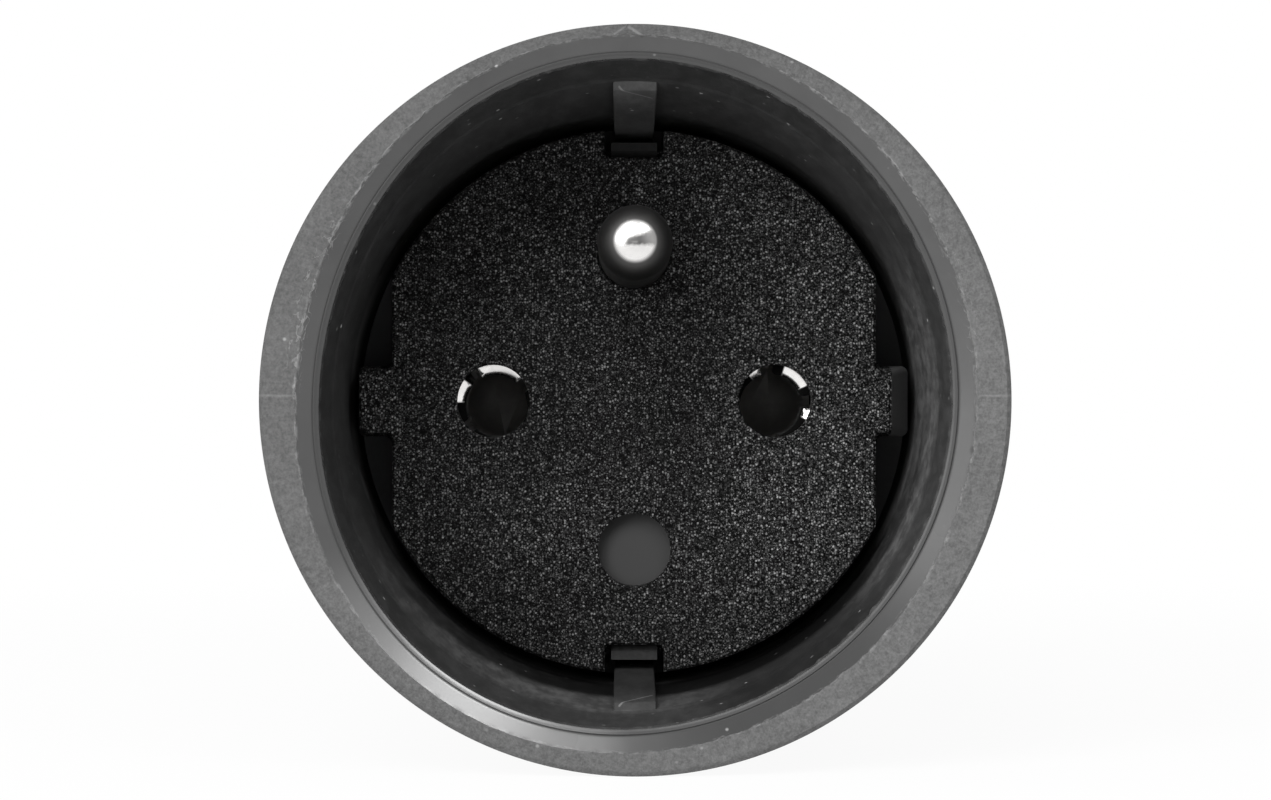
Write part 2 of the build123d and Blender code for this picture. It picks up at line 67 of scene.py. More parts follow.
class Wire:
    """A value inside a material. Sums on it add the nodes that work them out."""

    def __init__(self, socket):
        self.socket = socket

    def node(self, kind, settings, sockets, output=0):
        """A new node of any type: its settings, then the values or wires of its sockets."""
        tree = self.socket.id_data
        node = tree.nodes.new(kind)
        for name, value in settings.items():
            setattr(node, name, value)
        for key, value in sockets.items():
            if isinstance(value, Wire):
                tree.links.new(value.socket, node.inputs[key])
            else:
                node.inputs[key].default_value = value
        return Wire(node.outputs[output])

    def math(self, operation, first, second=0.0):
        return self.node("ShaderNodeMath", {"operation": operation}, {0: first, 1: second})

    def __add__(self, other):
        return self.math("ADD", self, other)

    def __radd__(self, other):
        return self.math("ADD", other, self)

    def __sub__(self, other):
        return self.math("SUBTRACT", self, other)

    def __rsub__(self, other):
        return self.math("SUBTRACT", other, self)

    def __mul__(self, other):
        return self.math("MULTIPLY", self, other)

    def __rmul__(self, other):
        return self.math("MULTIPLY", other, self)

    def __truediv__(self, other):
        return self.math("DIVIDE", self, other)

    def __pow__(self, other):
        return self.math("POWER", self, other)

    def __abs__(self):
        return self.math("ABSOLUTE", self)

    def between(self, low, high):
        """Rises smoothly from 0 at low to 1 at high, or falls where low is the larger."""
        sockets = {"Value": self, "From Min": low, "From Max": high}
        return self.node("ShaderNodeMapRange", {"interpolation_type": "SMOOTHSTEP"}, sockets)

    def parts(self):
        """The three numbers of a vector."""
        split = self.node("ShaderNodeSeparateXYZ", {}, {0: self}).socket.node
        return [Wire(output) for output in split.outputs]

    def joined(self, x, y, z):
        return self.node("ShaderNodeCombineXYZ", {}, {0: x, 1: y, 2: z})

    def noise(self, scale, detail=2.0, roughness=0.5):
        sockets = {"Vector": self, "Scale": scale, "Detail": detail, "Roughness": roughness}
        return self.node("ShaderNodeTexNoise", {}, sockets)

    def specks(self, scale, size, rarity):
        """A round dot in each cell, size in cells across. The rarer, the fewer dots are bright."""
        cells = self.node("ShaderNodeTexVoronoi", {}, {"Vector": self, "Scale": scale})
        chance = Wire(cells.socket.node.outputs["Color"]).parts()[0]
        return cells.between(size, 0.3 * size) * chance**rarity

    def blend(self, dark, light):
        """A colour from dark to light, by this value."""
        return self.node("ShaderNodeMix", {"data_type": "RGBA"}, {0: self, 6: dark, 7: light}, output=2)


def grey(level, warmth=0.0):
    return (level * (1 + warmth), level, level * (1 - warmth), 1.0)


def start_finish(name, **constants):
    """A new material: its shader, with the sockets that stay the same, and its coordinates."""
    material = bpy.data.materials.new(name)
    material.use_nodes = True
    shader = material.node_tree.nodes["Principled BSDF"]
    for key, value in constants.items():
        shader.inputs[key.replace("_", " ")].default_value = value
    place = material.node_tree.nodes.new("ShaderNodeTexCoord").outputs["Object"]
    return material, shader, Wire(place)


def feed(shader, **wires):
    for key, wire in wires.items():
        wire.socket.id_data.links.new(wire.socket, shader.inputs[key.replace("_", " ")])


def relief(height, distance, strength=1.0):
    """A bumped normal from a height of 0 to 1, distance being its depth in metres."""
    sockets = {"Height": height, "Distance": distance, "Strength": strength}
    return height.node("ShaderNodeBump", {}, sockets)


def dress(node, material):
    """Gives a node of the frame its finish."""
    slots = NODES[node].data.materials
    slots.clear()
    slots.append(material)


def nickel(name, brightness, rough, axis, darkened, darkened_rough=0.3):
    """Nickel plate on turned brass, with tool rings round the axis and rub marks along it.

    It is painted dark where darkened, a function of the coordinates, comes to 1: painted shade, and on
    the earth pin's nose painted dark reflections.
    """
    material, shader, place = start_finish(name, Metallic=1.0)
    x, y, z = place.parts()
    radius = ((x - axis.x) * (x - axis.x) + (z - axis.z) * (z - axis.z)) ** 0.5
    rings = place.joined(radius * 9.0, y, 0.0).noise(5200.0, 1.0)
    rubs = place.joined(x, y * 0.12, z).noise(2600.0, 3.0)
    wear = place.noise(420.0, 4.0).between(0.35, 0.7) * 0.5 + rubs * 0.5
    darkening = darkened(x, y, z)
    shine = (1 - darkening) * (1 - 0.22 * wear) * brightness + 0.012
    feed(
        shader,
        Base_Color=shine.blend(grey(0.0), grey(1.0, 0.015)),
        Roughness=rough + 0.16 * wear + 0.06 * rings + darkened_rough * darkening,
        Normal=relief(rings * 0.6 + rubs * 0.4, 0.004 * MM, 0.5),
    )
    return material


def pin_tail_shade(x, y, z):
    """Painted shade: darkens the part of a pin that lies inside the body."""
    return y.between(PIN_TAIL_Y, PIN_TAIL_Y - MM)


for side, pin_x in (("left", -PIN_X), ("right", PIN_X)):
    axis = Vector((pin_x, 0, 0))
    finish = nickel(f"{side}_pin_nickel", brightness=0.72, rough=0.16, axis=axis, darkened=pin_tail_shade)
    dress(f"{side}_plug_pin", finish)


# The earth strap: one brass strip bent to a U, nickel plated.
# Its bar lies behind the socket base, and its bowed legs show at the top and bottom of the nose.
material, shader, place = start_finish("strap_nickel", Metallic=1.0)
x, y, z = place.parts()
brush = place.joined(x, y * 0.06, z * 0.06).noise(9000.0, 2.0)
stain = place.noise(260.0, 4.0, 0.6)
feed(
    shader,
    Base_Color=stain.between(0.4, 0.7).blend(grey(0.68, 0.03), grey(0.5, 0.06)),
    Roughness=0.22 + 0.2 * brush + 0.12 * stain,
    Normal=relief(brush, 0.006 * MM, 0.6),
)
dress("earth_strap", material)


# The plug carrier: the hard black nose with its flange, moulded in one piece.
# It is fine-grained from the mould, with soft clouds of polish from being pushed into sockets.
FACE_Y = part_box("socket_cover")[0].y
BASE_FLANGE_Y = -17.5 * MM
GAP_Y = FACE_Y + 1.5 * MM
# How much the gap round the socket face is painted lighter, as painted light.
GAP_PAINTED_LIGHT = 0.12


def moulded_black(name, level, rough, grain_scale, grain_depth, light_by_height=0.0):
    """Black moulded plastic: a fine grain, soft clouds in its gloss, and painted light that greys it down
    in the gap.

    Light by height greys its lower half as painted light and darkens its upper half as painted shade.
    """
    material, shader, place = start_finish(name, Specular_IOR_Level=0.15)
    x, y, z = place.parts()
    grain = place.noise(grain_scale, 3.0, 0.6)
    clouds = place.noise(190.0, 3.0)
    tone = grain.between(0.3, 0.75) * 0.5 + clouds * 0.3 + place.specks(700.0, 0.15, 12.0)
    in_gap = y.between(GAP_Y, FACE_Y + 3.0 * MM) * y.between(BASE_FLANGE_Y + MM, BASE_FLANGE_Y)
    height_light_and_shade = 1 + light_by_height * (0.45 - 0.75 * z.between(-2.0 * MM, 2.0 * MM))
    shade = level * height_light_and_shade * (0.7 + 1.2 * tone) + GAP_PAINTED_LIGHT * in_gap
    feed(
        shader,
        Base_Color=shade.blend(grey(0.0), grey(1.0)),
        Roughness=rough + 0.2 * clouds + 0.1 * grain,
        Normal=relief(grain, grain_depth, 0.6),
    )
    return material


finish = moulded_black(
    "carrier_black", level=0.026, rough=0.34, grain_scale=3200.0, grain_depth=0.02 * MM
)
dress("plug_carrier", finish)


# The carrier screws: two cross-headed screws that pull the carrier to the socket base.
# Zinc-plated steel, bright with a soft grey bloom.
material, shader, place = start_finish("zinc_plate", Metallic=1.0)
bloom = place.noise(700.0, 5.0, 0.65)
feed(
    shader,
    Base_Color=bloom.between(0.35, 0.7).blend(grey(0.62), grey(0.4, -0.02)),
    Roughness=0.28 + 0.3 * bloom,
    Normal=relief(bloom, 0.01 * MM, 0.4),
)
for node in ("carrier_screws", "earth_pin_screw"):
    dress(node, material)


# The socket base: the black moulding that carries the sleeves and the earth pin.
# Its snap hooks reach forward into the cover's notches, where they show, the lower one painted greyer as
# painted light and the upper one darker as painted shade.
# The gap round the socket face, down to the base's flange, is painted lighter, as painted light.
finish = moulded_black(
    "base_black", level=0.013, rough=0.45, grain_scale=2400.0, grain_depth=0.012 * MM, light_by_height=1.0
)
dress("socket_base", finish)


# The contact sleeves: turned brass, nickel plated, sawn into four fingers at the mouth.
# At rest the fingers spring in and lean down and inwards, so their upper lips show in the holes.
# Plugs have rounded the lips. The bore and the lips are painted dark as painted shade, but for some arcs
# of the lips left bright as painted reflections.
FINGER_LENGTH = 13.0 * MM
FINGER_SPRING = 0.3 * MM
FINGER_LEAN = 0.4 * MM
LIP_DEPTH = 0.5 * MM
LIP_RADIUS = 2.9 * MM
LIP_WEAR = 0.6
BORE_SHINE = 0.5
ARC_FADE = 2.0
SHARP_ANGLE = math.radians(30)


def add_piece(name, bm, material, slot, *nodes):
    """Makes a finished mesh a piece of the object that stands for the given nodes."""
    mesh = bpy.data.meshes.new(name)
    bm.to_mesh(mesh)
    bm.free()
    for polygon in mesh.polygons:
        polygon.use_smooth = True
    mesh.set_sharp_from_angle(angle=SHARP_ANGLE)
    mesh.materials.append(material)
    piece = bpy.data.objects.new(name, mesh)
    bpy.context.scene.collection.objects.link(piece)
    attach(piece, "root")
    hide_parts(*nodes)


# Each bright arc of a lip, a painted reflection, is given by its middle and half its width, in degrees.
for side, sleeve_x, lean_turn, bright_arcs in (
    ("left", -PIN_X, 293.0, ((163.0, 19.0), (78.0, 38.0))),
    ("right", PIN_X, 234.0, ((118.0, 17.0), (50.0, 24.0), (-17.0, 13.0))),
):
    node = f"{side}_sleeve"
    lean = Vector((math.cos(math.radians(lean_turn)), 0.0, math.sin(math.radians(lean_turn))))
    mouth_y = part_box(node)[0].y
    bm = bmesh.new()
    bm.from_mesh(NODES[node].data)
    bmesh.ops.remove_doubles(bm, verts=bm.verts, dist=0.001 * MM)
    for vert in bm.verts:
        depth = vert.co.y - mouth_y
        out = Vector((vert.co.x - sleeve_x, 0.0, vert.co.z))
        if out.length < LIP_RADIUS and depth < 1.1 * LIP_DEPTH:
            vert.co.y -= LIP_WEAR * depth
        bend = max(0.0, 1 - depth / FINGER_LENGTH) ** 1.5
        vert.co += bend * (FINGER_LEAN * lean - FINGER_SPRING * out.normalized())

    def bore_shade(x, y, z):
        """Painted shade in the bore and on the lip, less of it deep in the bore, but for the arcs left
        bright as painted reflections.
        """
        across = x - sleeve_x
        reach = (across * across + z * z) ** 0.5
        lightness = 0.0
        for middle, half in bright_arcs:
            turn = math.radians(middle)
            facing = (across * math.cos(turn) + z * math.sin(turn)) / reach
            outside, inside = math.radians(half + ARC_FADE), math.radians(half - ARC_FADE)
            lightness = lightness + facing.between(math.cos(outside), math.cos(inside))
        darkening = y.math("MAXIMUM", y.between(mouth_y + 0.25 * MM, mouth_y + 0.4 * MM), 1 - lightness)
        return darkening * (1 - BORE_SHINE * y.between(mouth_y + 2.0 * MM, mouth_y + 9.0 * MM))

    axis = Vector((sleeve_x, 0, 0))
    finish = nickel(
        f"{side}_sleeve_nickel", brightness=0.9, rough=0.16, axis=axis, darkened=bore_shade, darkened_rough=0.9
    )
    add_piece(f"{side}_contact_sleeve", bm, finish, "contact_metal", node)


# The sleeve springs: open rings of steel wire that sit in the grooves and close the fingers.
# The washer under the earth screw's head is stamped from the same bright steel.
material, shader, place = start_finish("spring_steel", Metallic=1.0)
scale_marks = place.noise(1500.0, 4.0)
feed(
    shader,
    Base_Color=scale_marks.between(0.3, 0.7).blend(grey(0.5), grey(0.36, 0.04)),
    Roughness=0.25 + 0.2 * scale_marks,
)
for node in ("left_sleeve_spring", "right_sleeve_spring", "earth_pin_washer"):
    dress(node, material)


# The earth pin: turned brass, nickel plated, with a polished round nose.
# Its collar is trapped between the base and the cover, and a screw holds the strap to its tail.
EARTH_PIN_RISE = 10.0 * MM
NOSE_BRIGHT_RADIUS = 1.28 * MM


def pin_shade_and_reflection(x, y, z):
    """Painted dark reflection on the flank round the nose's bright disc, painted shade near the face, and
    a wedge on the nose painted dark as a painted reflection.
    """
    rise = z - EARTH_PIN_RISE
    up = rise + 0.5 * MM * (x.joined(x, z, 0.0).noise(1900.0, 4.0, 0.6) - 0.5)
    wedge = up.between(-0.38 * MM, -0.12 * MM) * (up - 0.36 * x).between(0.52 * MM, 0.12 * MM)
    wedge = 0.88 * wedge * x.between(-1.1 * MM, -0.4 * MM) * (1 - 0.35 * x.between(0.2 * MM, 1.2 * MM))
    radius = (x * x + rise * rise) ** 0.5
    flank = 0.9 * radius.between(NOSE_BRIGHT_RADIUS - 0.18 * MM, NOSE_BRIGHT_RADIUS + 0.17 * MM)
    tail = y.between(FACE_Y - 4.0 * MM, FACE_Y + 6.0 * MM)
    return y.math("MAXIMUM", y.math("MAXIMUM", tail, flank), wedge)


axis = Vector((0, 0, EARTH_PIN_RISE))
finish = nickel("earth_pin_nickel", brightness=0.9, rough=0.09, axis=axis, darkened=pin_shade_and_reflection)
dress("earth_pin", finish)


# The socket cover: the hard black face, snapped over the base by two hooks.
# Its sandblasted mould left a grain, whose sparkle is painted glints, and a smooth greyer blind recess
# and right lug end; the lug end is painted paler, as painted light.
BLIND_DROP = 10.0 * MM
BLIND_RADIUS = 2.45 * MM
RIGHT_LUG_END = 17.35 * MM
material, shader, place = start_finish("cover_black", Specular_IOR_Level=0.025)
x, y, z = place.parts()
blind_radius = (x * x + (z + BLIND_DROP) * (z + BLIND_DROP)) ** 0.5
in_blind = blind_radius.between(1.01 * BLIND_RADIUS, 0.99 * BLIND_RADIUS)
blind_floor = in_blind * y.between(FACE_Y + 0.5 * MM, FACE_Y + 0.7 * MM)
lug_end = x.between(RIGHT_LUG_END - 0.05 * MM, RIGHT_LUG_END + 0.05 * MM)
smooth = lug_end.math("MAXIMUM", blind_floor, lug_end)
flat = place.joined(x, z, 0.4 * y)
grain = flat.noise(6500.0, 2.0, 0.75)
# The sparkle is painted glints: bright specks in the colour.
painted_glints = flat.specks(5600.0, 0.55, 3.5) + 0.6 * flat.specks(8800.0, 0.55, 2.5)
from_middle = (x * x + z * z) ** 0.5
# Painted light and shade: the face is darker in the middle, lighter to the right, at the far left and
# high up, and darker low down.
lightness = 0.98 - 0.36 * from_middle.between(12.0 * MM, 3.0 * MM) + 0.36 * x.between(2.0 * MM, 14.0 * MM)
lightness = lightness - 0.2 * z.between(-8.0 * MM, -14.0 * MM) + 0.1 * z.between(6.0 * MM, 12.0 * MM)
lightness = lightness + 0.4 * x.between(-15.0 * MM, -16.5 * MM)
patches = lightness * (0.85 + 1.1 * flat.noise(170.0, 3.0))
tone = (1 - smooth) * patches * (0.5 * painted_glints + 0.075 * grain.between(0.45, 0.8))
# The right lug end is painted paler, as painted light.
feed(
    shader,
    Base_Color=(tone + 0.13 * blind_floor + 0.33 * lug_end).blend(grey(0.002), grey(0.36)),
    Roughness=0.55 + 0.2 * grain - 0.15 * smooth,
    Normal=relief(grain * (1 - smooth), 0.03 * MM, 0.8),
)
dress("socket_cover", material)


# The rubber jacket: the round body, its rim, the recess wall and two key ribs in one moulding.
# Its matte bevel meets the rim's smooth inner band in a ragged edge, worn to pale flecks.
# The band is rubbed to a shine at the lower left, and the soft rim has set a little oval.
RIM_Y, SHOULDER_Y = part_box("rubber_jacket")[0].y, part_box("rubber_jacket")[1].y
COLLAR_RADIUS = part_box("rubber_jacket")[1].x
COLLAR_EDGE = 0.3 * MM
BEVEL_DEPTH = 0.45 * MM
BAND_DROP = 0.45 * MM
EDGE_RADIUS = COLLAR_RADIUS - 1.85 * MM
BAND_INNER = EDGE_RADIUS - 0.95 * MM
GROOVE_RADIUS = BAND_INNER - 0.16 * MM
MOUTH_RADIUS = GROOVE_RADIUS - 0.35 * MM
STEP_RADIUS = MOUTH_RADIUS - 0.5 * MM
RECESS_RADIUS = STEP_RADIUS - 0.2 * MM
WAIST_RADIUS = RECESS_RADIUS + 2.4 * MM
FLANGE_GROOVE_RADIUS = RECESS_RADIUS + 1.05 * MM
REAR_LIP_RADIUS = RECESS_RADIUS - 0.8 * MM
SHOULDER_ROUND = 1.6 * MM
STEP_HEIGHT = 0.13 * MM
FLANGE_ROOM = 0.05 * MM
BEVEL_STEPS, ROUND_STEPS, SWELL_STEPS, FALL_STEPS = 9, 8, 10, 6
AROUND = 1080
bevel_y = RIM_Y + BEVEL_DEPTH
collar_y = bevel_y + 11.0 * MM
lip_y = RIM_Y + BAND_DROP
step_y = RIM_Y + 5.5 * MM
wall_end_y = RIM_Y + 17.0 * MM
groove_front_y = BASE_FLANGE_Y - FLANGE_ROOM
groove_back_y = SHOULDER_Y - 14.0 * MM + FLANGE_ROOM
rear_lip_y = SHOULDER_Y - 2.0 * MM


def stretch(start, end, steps):
    """Points from start to end, evenly spaced, the last left out."""
    return [Vector(start).lerp(Vector(end), i / steps) for i in range(steps)]


profile = stretch((REAR_LIP_RADIUS, SHOULDER_Y), (WAIST_RADIUS - SHOULDER_ROUND, SHOULDER_Y), 2)
round_centre = Vector((WAIST_RADIUS - SHOULDER_ROUND, SHOULDER_Y - SHOULDER_ROUND))
for i in range(ROUND_STEPS):
    turn = math.radians(90 * i / ROUND_STEPS)
    profile.append(round_centre + SHOULDER_ROUND * Vector((math.sin(turn), math.cos(turn))))
profile += stretch((WAIST_RADIUS, SHOULDER_Y - SHOULDER_ROUND), (WAIST_RADIUS, BASE_FLANGE_Y), 3)
for i in range(SWELL_STEPS):
    swell = 0.5 - 0.5 * math.cos(math.pi * i / SWELL_STEPS)
    radius = WAIST_RADIUS + (COLLAR_RADIUS - WAIST_RADIUS) * swell
    profile.append(Vector((radius, BASE_FLANGE_Y + (collar_y - BASE_FLANGE_Y) * i / SWELL_STEPS)))
profile += stretch((COLLAR_RADIUS, collar_y), (COLLAR_RADIUS, bevel_y + COLLAR_EDGE), 3)
profile += stretch((COLLAR_RADIUS, bevel_y + COLLAR_EDGE), (COLLAR_RADIUS - COLLAR_EDGE, bevel_y), 2)
profile += stretch((COLLAR_RADIUS - COLLAR_EDGE, bevel_y), (EDGE_RADIUS, RIM_Y), BEVEL_STEPS)
edge_ring = len(profile)
profile += stretch((EDGE_RADIUS, RIM_Y), (BAND_INNER, lip_y), 12)
profile += [
    Vector((BAND_INNER, lip_y)),
    Vector(((BAND_INNER + GROOVE_RADIUS) / 2, lip_y + 0.07 * MM)),
    Vector((GROOVE_RADIUS, lip_y)),
    Vector((GROOVE_RADIUS - 0.03 * MM, lip_y + 0.012 * MM)),
    Vector((MOUTH_RADIUS + 0.1 * MM, lip_y + 0.1 * MM)),
    Vector((MOUTH_RADIUS + 0.06 * MM, lip_y + 0.13 * MM)),
]
lip_ring = len(profile)
step_start = (STEP_RADIUS + STEP_HEIGHT, step_y - 0.4 * MM)
profile += stretch((MOUTH_RADIUS, lip_y + 0.35 * MM), step_start, 6)
for i in range(FALL_STEPS):
    fall = 0.5 + 0.5 * math.cos(math.pi * i / FALL_STEPS)
    profile.append(Vector((STEP_RADIUS + STEP_HEIGHT * fall, step_y + (0.9 * i / FALL_STEPS - 0.4) * MM)))
profile += stretch((STEP_RADIUS, step_y + 0.5 * MM), (RECESS_RADIUS, wall_end_y), 8)
profile += [
    Vector((RECESS_RADIUS, wall_end_y)),
    Vector((RECESS_RADIUS, groove_front_y)),
    Vector((FLANGE_GROOVE_RADIUS, groove_front_y)),
    Vector((FLANGE_GROOVE_RADIUS, groove_back_y)),
    Vector((RECESS_RADIUS, groove_back_y)),
    Vector((RECESS_RADIUS, rear_lip_y)),
    Vector((REAR_LIP_RADIUS, rear_lip_y)),
]

# Each point keeps its distance across the profile from the worn edge, in millimetres.
lengths = [0.0]
for a, b in zip(profile, profile[1:]):
    lengths.append(lengths[-1] + (b - a).length)
bm = bmesh.new()
across = bm.verts.layers.float.new("across")
burr = bm.verts.layers.float.new("burr")
ring = [bm.verts.new((point.x, point.y, 0.0)) for point in profile]
for vert, length in zip(ring, lengths):
    vert[across] = (lengths[edge_ring] - length) / MM
edges = [bm.edges.new((a, b)) for a, b in zip(ring, ring[1:] + ring[:1])]
bmesh.ops.spin(
    bm,
    geom=ring + edges,
    cent=(0, 0, 0),
    axis=(0, 1, 0),
    angle=2 * math.pi,
    steps=AROUND,
    use_merge=True,
)
bmesh.ops.remove_doubles(bm, verts=bm.verts, dist=0.0005 * MM)

# The key ribs start with a blunt nose on the wall and run down into the notches of the insert.
RIB_WIDTH = 2.7 * MM
RIB_NOSE = 0.5 * MM
RIB_RADIUS = RECESS_RADIUS - 1.35 * MM
RIB_ROOT_RADIUS = RECESS_RADIUS + 1.5 * MM
RIB_ROUND = 0.12 * MM
RIB_ACROSS = -30.0
rib_front_y = RIM_Y + 5.8 * MM
rib_back_y = BASE_FLANGE_Y - 0.1 * MM
rib_side = [
    (RIB_RADIUS, rib_back_y),
    (RIB_RADIUS, SHOULDER_Y - 25.8 * MM),
    (STEP_RADIUS - RIB_NOSE, rib_front_y + RIB_NOSE),
    (STEP_RADIUS, rib_front_y),
    (RIB_ROOT_RADIUS, rib_front_y),
    (RIB_ROOT_RADIUS, rib_back_y),
]
for up in (1, -1):
    near = [bm.verts.new((-RIB_WIDTH / 2, y, up * z)) for z, y in rib_side]
    face = bm.faces.new(near)
    grown = bmesh.ops.extrude_face_region(bm, geom=[face])["geom"]
    far = [item for item in grown if isinstance(item, bmesh.types.BMVert)]
    bmesh.ops.translate(bm, verts=far, vec=(RIB_WIDTH, 0, 0))
    rib_edges = dict.fromkeys(edge for vert in near + far for edge in vert.link_edges)
    shown = [e for e in rib_edges if max(abs(v.co.z) for v in e.verts) < RECESS_RADIUS + 0.5 * MM]
    bmesh.ops.bevel(
        bm, geom=shown, offset=RIB_ROUND, affect="EDGES", segments=3, profile=0.5, material=-1
    )
for vert in bm.verts:
    if vert[across] == 0.0 and vert.co.y > step_y:
        vert[across] = RIB_ACROSS

# The rim's set: spread a little, taller than wide, slightly three-lobed and pushed up.
# It fades out towards the collar's edge and down the wall.
SPREAD = 0.13 * MM
OVAL, OVAL_TURN = 0.6 * MM, math.radians(81)
LOBES, LOBES_TURN = 0.2 * MM, math.radians(-13)
PUSH, PUSH_TURN = 0.3 * MM, math.radians(116)
SET_END, SET_FADE = 16.0 * MM, 14.0 * MM
POLISHED_SIDE = 237.0
BURR_TURN, BURR_WIDTH, BURR_HEIGHT = 0.012, 0.11 * MM, 0.04 * MM
bevel_width = (lengths[edge_ring] - lengths[edge_ring - BEVEL_STEPS]) / MM
lip_across = (lengths[edge_ring] - lengths[lip_ring]) / MM
# A chewed line: its place across, its depth, and its reach outward and inward, in millimetres across.
chewed_lines = ((0.0, 0.1 * MM, 0.4, 0.15), (lip_across, 0.12 * MM, 0.25, 0.25))
for vert in bm.verts:
    out = Vector((vert.co.x, 0.0, vert.co.z)).normalized()
    turn = math.atan2(out.z, out.x)
    if vert[across] >= 0:
        share = max(0.0, 1 - vert[across] / bevel_width)
    else:
        share = min(1.0, max(0.0, (RIM_Y + SET_END - vert.co.y) / SET_FADE))
    set_out = SPREAD + OVAL * math.cos(2 * (turn - OVAL_TURN))
    set_out += LOBES * math.cos(3 * (turn - LOBES_TURN)) + PUSH * math.cos(turn - PUSH_TURN)
    vert.co += out * set_out * share

    # The edge between bevel and band is chewed, and so is the mouth's lip, less on the polished side.
    for middle, depth, outward, inward in chewed_lines:
        off = vert[across] - middle
        near = max(0.0, 1 - (off / outward if off > 0 else -off / inward))
        if near:
            chew = noise.fractal(out * 24.0 + Vector((middle, 0.0, 7.0)), 0.7, 2.2, 6)
            chew *= 1 - 0.75 * max(0.0, math.cos(turn - math.radians(POLISHED_SIDE))) ** 2
            vert.co += out * depth * near * chew
            vert.co.y += 0.2 * depth * near * abs(chew)

    # The mould's parting line leaves a fine burr on the left and right of the bevel.
    if vert[across] > 0.15 and abs(out.x) > 0.9:
        vert[burr] = max(0.0, 1 - abs(out.z - BURR_TURN) * COLLAR_RADIUS / BURR_WIDTH)
        vert.co.y -= BURR_HEIGHT * vert[burr] * min(1.0, max(0.0, bevel_width - vert[across]))

bmesh.ops.recalc_face_normals(bm, faces=bm.faces)

material, shader, place = start_finish(
    "jacket_rubber", Specular_IOR_Level=0.15, Coat_IOR=2.0, Coat_Roughness=0.24
)
x, y, z = place.parts()
radius = (x * x + z * z) ** 0.5
out_x, out_z = x / radius, z / radius
around = place.joined(out_x, out_z, 0.0)
across_mm = place.node("ShaderNodeAttribute", {"attribute_name": "across"}, {}, output=2)
burr_line = place.node("ShaderNodeAttribute", {"attribute_name": "burr"}, {}, output=2)


def toward(degrees, spread):
    """1 in the given direction round the axis, falling to 0 at spread degrees either side."""
    turn = math.radians(degrees)
    facing = out_x * math.cos(turn) + out_z * math.sin(turn)
    return facing.between(math.cos(math.radians(spread)), 1.0)


# The stretches of the profile: the bevel, the smooth band, the groove, the mouth's lip and the wall.
bevel = across_mm.between(-0.03, 0.03)
groove = across_mm.between(-1.04, -1.12) * across_mm.between(-1.48, -1.4)
band = (1 - bevel) * across_mm.between(-1.12, -1.04)
lip = across_mm.between(-1.4, -1.48) * across_mm.between(-2.1, -1.95)
wall = across_mm.between(-1.95, -2.1)

mottle = place.noise(2600.0, 3.0, 0.6).between(0.25, 0.75)
fine = place.noise(6500.0, 2.0, 0.6).between(0.25, 0.75)
clouds = place.noise(230.0, 4.0, 0.55)
streaks = place.joined(out_x, out_z, radius * 3.5).noise(170.0, 3.0, 0.6)
dust = place.specks(700.0, 0.12, 3.5)
bevel_tone = 0.03 + 0.035 * mottle + 0.05 * clouds + 0.035 * streaks + 0.035 * fine + 0.05 * burr_line


def scratch(u, v, start, end, width):
    """1 along a straight scratch in the plane of two coordinates, its ends and width in metres."""
    run = Vector(end) - Vector(start)
    along = ((u - start[0]) * run.x + (v - start[1]) * run.y) / run.length_squared
    along = along.math("MAXIMUM", along.math("MINIMUM", along, 1.0), 0.0)
    off_u, off_v = u - (start[0] + run.x * along), v - (start[1] + run.y * along)
    return ((off_u * off_u + off_v * off_v) ** 0.5).between(width, 0.3 * width)


# Pale flecks and a few curls of torn skin along the worn edge, more of them in some places.
# The skin is split at the top, where two pale lines meet.
RIM_RADIUS_MM = 22.0
along_rim = place.joined(RIM_RADIUS_MM * out_x, RIM_RADIUS_MM * out_z, 2.5 * across_mm)
presence = around.noise(2.6, 3.0, 0.6).between(0.38, 0.62)
wander = around.noise(9.0, 5.0, 0.65) - 0.5
fleck_line = abs(across_mm - 0.5 * wander).between(0.18, 0.04)
flecks = fleck_line * along_rim.noise(1.5, 4.0, 0.7).between(0.46, 0.62) * (0.4 + 0.6 * presence)
curls = abs(along_rim.noise(0.75, 2.0) - 0.5).between(0.022, 0.005)
torn = curls * (toward(163.0, 20.0) + 0.5 * toward(15.0, 18.0))
torn = torn * across_mm.between(-0.5, -0.2) * across_mm.between(0.8, 0.4)
split = 0.6 * scratch(x, z, (-0.65 * MM, 23.1 * MM), (-1.3 * MM, 22.6 * MM), 0.1 * MM)
split = split + scratch(x, z, (-0.4 * MM, 23.1 * MM), (0.4 * MM, 22.5 * MM), 0.14 * MM)
split = split * across_mm.between(2.0, 1.7)

# Plugs have scuffed the wall grey on the right and at the lower left, and scored the ribs.
# The wall and its scuffs are painted paler below the step, as painted light.
# Low down by the face the wall is painted darker, as painted shade.
rib = across_mm.between(-24.0, -26.0)
scuffs = place.joined(x, y * 0.4, z).noise(900.0, 6.0, 0.7).between(0.36, 0.72)
deep = y.between(step_y - 0.6 * MM, step_y + 1.2 * MM)
lightness = (toward(-8.0, 42.0) + 0.7 * toward(250.0, 48.0)) * (0.1 + 0.9 * deep)
wall_tone = (0.03 + 0.016 * clouds + 0.02 * scuffs) * (0.8 + 0.2 * deep)
wall_tone = wall_tone + (1 - rib) * lightness * (0.02 + 0.075 * scuffs)
wall_tone = wall_tone * (1 - 0.55 * toward(302.0, 26.0))
# Painted shade: the wall darker low down by the face.
painted_low_shade = y.between(FACE_Y - 6.4 * MM, FACE_Y - 3.8 * MM) * toward(283.0, 95.0)
wall_tone = wall_tone * (1 - 0.95 * (1 - rib) * painted_low_shade)
